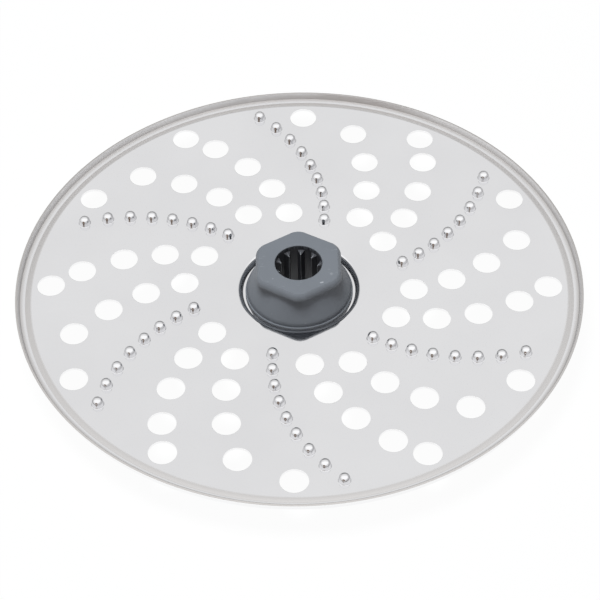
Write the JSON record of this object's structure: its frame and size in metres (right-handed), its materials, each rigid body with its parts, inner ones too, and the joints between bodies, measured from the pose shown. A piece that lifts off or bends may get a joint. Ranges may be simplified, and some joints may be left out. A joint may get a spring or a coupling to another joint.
{
  "type": "food processor disc",
  "caption": "Pressed steel grating disc with holes and raised pips in curved rows, an upturned rim, and a moulded hub with a six-sided head and ribbed drive socket.",
  "frame": {"origin": "on the disc's axis, at the lower face of the hub, which it stands on", "axes": "+Z along the drive axis towards the working side with the pips, +X across two flats of the hub's head"},
  "size_m": [0.148, 0.148, 0.018],
  "materials": {
    "steel": "polished stainless sheet",
    "hub_plastic": "fine moulded satin"
  },
  "bodies": {
    "root": {"pip_plate": "steel", "drive_hub": "hub_plastic"}
  },
  "joints": []
}
